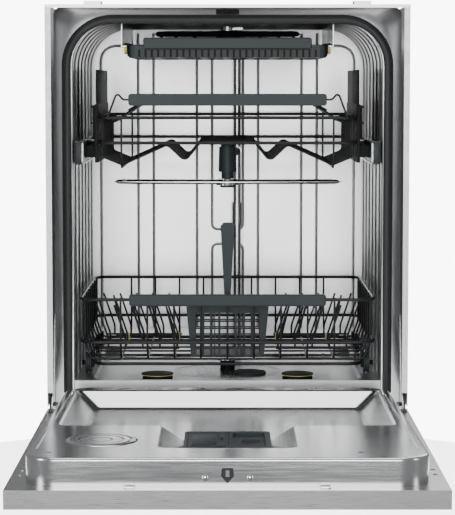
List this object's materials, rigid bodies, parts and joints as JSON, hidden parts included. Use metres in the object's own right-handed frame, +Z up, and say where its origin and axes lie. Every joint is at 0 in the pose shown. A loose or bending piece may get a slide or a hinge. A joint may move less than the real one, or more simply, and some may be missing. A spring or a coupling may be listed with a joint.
{
  "type": "built-in dishwasher",
  "caption": "Built-in dishwasher with a fold-down stainless door, sliding wire racks, a cutlery tray and turning spray arms in a steel tub.",
  "frame": {"origin": "middle of the sole of the rear levelling foot, on the floor", "axes": "+Z up, +Y from the door towards the back wall, +X to the right as seen from the kitchen"},
  "size_m": [0.596, 1.217, 0.819],
  "materials": {
    "galvanised": "zinc-coated casing sheet",
    "steel_satin": "satin stainless",
    "tub_steel": "bright annealed stainless",
    "liner_steel": "satin stainless",
    "door_steel": "fine brushed stainless",
    "filter_steel": "perforated stainless",
    "arm_steel": "pressed stainless",
    "rail_steel": "rolled stainless",
    "pipe_steel": "polished tube",
    "spring_steel": "plated wire",
    "screw_chrome": "plated",
    "button_steel": "satin plated",
    "base_plastic": "moulded polypropylene",
    "foot_plastic": "moulded",
    "kick_black": "black powder coat",
    "seal_rubber": "extruded EPDM",
    "dark_plastic": "moulded, fine grain",
    "slate_plastic": "moulded, slate grey",
    "cap_olive": "moulded, yellow-green",
    "motor_grey": "moulded",
    "tank_white": "moulded polypropylene",
    "display_black": "smoked acrylic",
    "wire_coat": "nylon-coated steel wire"
  },
  "bodies": {
    "carcass": {"side_panels": "galvanised", "top_brace": "steel_satin", "base_frame": "base_plastic", "levelling_feet": "foot_plastic", "kick_plate": "kick_black", "tub_wrap": "tub_steel", "tub_back": "tub_steel", "tub_floor": "tub_steel", "door_gasket": "seal_rubber", "striker": "dark_plastic", "floor_caps": "cap_olive", "slide_rails": "rail_steel", "rail_end_caps": "slate_plastic", "sump": "dark_plastic", "filter_plate": "filter_steel", "filter_cup": "slate_plastic", "circulation_pump": "motor_grey", "drain_pump": "motor_grey", "water_softener": "tank_white", "inlet_valve": "tank_white", "riser_pipe": "pipe_steel", "hinge_brackets": "rail_steel", "door_springs": "spring_steel"},
    "door": {"door_skin": "door_steel", "door_liner": "liner_steel", "door_latch": "slate_plastic", "latch_screws": "screw_chrome", "dispenser_body": "slate_plastic", "vent_cap": "liner_steel", "control_board": "dark_plastic", "display_window": "display_black", "hinge_arms": "rail_steel"},
    "detergent_lid": {"detergent_lid": "slate_plastic"},
    "rinse_cap": {"rinse_cap": "slate_plastic"},
    "power_button": {"power_button": "button_steel"},
    "start_button": {"start_button": "button_steel"},
    "lower_rack": {"lower_rack_frame": "wire_coat", "lower_rack_tines": "wire_coat", "fold_clips": "cap_olive", "lower_handle": "slate_plastic", "wheel_carriers": "dark_plastic", "cutlery_basket": "slate_plastic", "basket_handle": "slate_plastic"},
    "fold_comb_right": {"fold_comb_right": "wire_coat"},
    "fold_comb_left": {"fold_comb_left": "wire_coat"},
    "front_wheels": {"front_wheels": "slate_plastic"},
    "rear_wheels": {"rear_wheels": "slate_plastic"},
    "upper_rack": {"upper_rack_wires": "wire_coat", "upper_handle": "slate_plastic", "height_adjusters": "dark_plastic", "slide_runners": "rail_steel", "spray_hub": "slate_plastic"},
    "cup_shelf_right": {"cup_shelf_right": "dark_plastic"},
    "cup_shelf_left": {"cup_shelf_left": "dark_plastic"},
    "upper_spray_arm": {"upper_spray_arm": "arm_steel"},
    "lower_spray_arm": {"lower_spray_arm": "arm_steel"},
    "top_spray_arm": {"top_spray_arm": "dark_plastic"},
    "cutlery_tray": {"cutlery_tray": "slate_plastic", "tray_handle": "slate_plastic", "tray_runners": "dark_plastic"}
  },
  "joints": [
    {"name": "door_hinge", "type": "hinge", "parent": "carcass", "child": "door", "pos_m": [0, -0.492, 0.15], "axis": [-1, 0, 0], "range_deg": [0, 90]},
    {"name": "detergent_lid_hinge", "type": "hinge", "parent": "door", "child": "detergent_lid", "pos_m": [-0.0566, -0.952, 0.1776], "axis": [0, 1, 0], "range_deg": [-95, 0]},
    {"name": "rinse_cap_turn", "type": "hinge", "parent": "door", "child": "rinse_cap", "pos_m": [0.034, -0.937, 0.173], "axis": [0, 0, 1], "range_deg": [0, 90]},
    {"name": "power_button_push", "type": "slide", "parent": "door", "child": "power_button", "axis": [0, 0, 1], "range_m": [0, 0.0015], "stiffness_N_per_m": 400},
    {"name": "start_button_push", "type": "slide", "parent": "door", "child": "start_button", "axis": [0, 0, 1], "range_m": [0, 0.0015], "stiffness_N_per_m": 400},
    {"name": "lower_rack_slide", "type": "slide", "parent": "carcass", "child": "lower_rack", "axis": [0, 1, 0], "range_m": [-0.45, 0]},
    {"name": "front_wheels_roll", "type": "hinge", "parent": "lower_rack", "child": "front_wheels", "pos_m": [0, -0.35333, 0.2073], "axis": [1, 0, 0], "range_deg": [0, 1434]},
    {"name": "rear_wheels_roll", "type": "hinge", "parent": "lower_rack", "child": "rear_wheels", "pos_m": [0, -0.09667, 0.2073], "axis": [1, 0, 0], "range_deg": [0, 1434]},
    {"name": "fold_comb_right_fold", "type": "hinge", "parent": "lower_rack", "child": "fold_comb_right", "pos_m": [0.15, -0.16067, 0.229], "axis": [-1, 0, 0], "range_deg": [0, 75]},
    {"name": "fold_comb_left_fold", "type": "hinge", "parent": "lower_rack", "child": "fold_comb_left", "pos_m": [-0.15, -0.16067, 0.229], "axis": [-1, 0, 0], "range_deg": [0, 75]},
    {"name": "upper_rack_slide", "type": "slide", "parent": "carcass", "child": "upper_rack", "axis": [0, 1, 0], "range_m": [-0.42, 0]},
    {"name": "cup_shelf_right_fold", "type": "hinge", "parent": "upper_rack", "child": "cup_shelf_right", "pos_m": [0.196, -0.234, 0.622], "axis": [0, 1, 0], "range_deg": [0, 50]},
    {"name": "cup_shelf_left_fold", "type": "hinge", "parent": "upper_rack", "child": "cup_shelf_left", "pos_m": [-0.196, -0.234, 0.622], "axis": [0, -1, 0], "range_deg": [0, 50]},
    {"name": "upper_arm_spin", "type": "hinge", "parent": "upper_rack", "child": "upper_spray_arm", "pos_m": [0, -0.225, 0.506], "axis": [0, 0, 1], "continuous": true},
    {"name": "lower_arm_spin", "type": "hinge", "parent": "carcass", "child": "lower_spray_arm", "pos_m": [0, -0.215, 0.1933], "axis": [0, 0, 1], "continuous": true},
    {"name": "top_arm_spin", "type": "hinge", "parent": "carcass", "child": "top_spray_arm", "pos_m": [0, -0.19, 0.77], "axis": [0, 0, 1], "continuous": true},
    {"name": "tray_slide", "type": "slide", "parent": "carcass", "child": "cutlery_tray", "axis": [0, 1, 0], "range_m": [-0.38, 0]}
  ],
  "couplings": [
    {"joint": "front_wheels_roll", "follows": "lower_rack_slide", "rad_per_m": -55.556},
    {"joint": "rear_wheels_roll", "follows": "lower_rack_slide", "rad_per_m": -55.556}
  ]
}
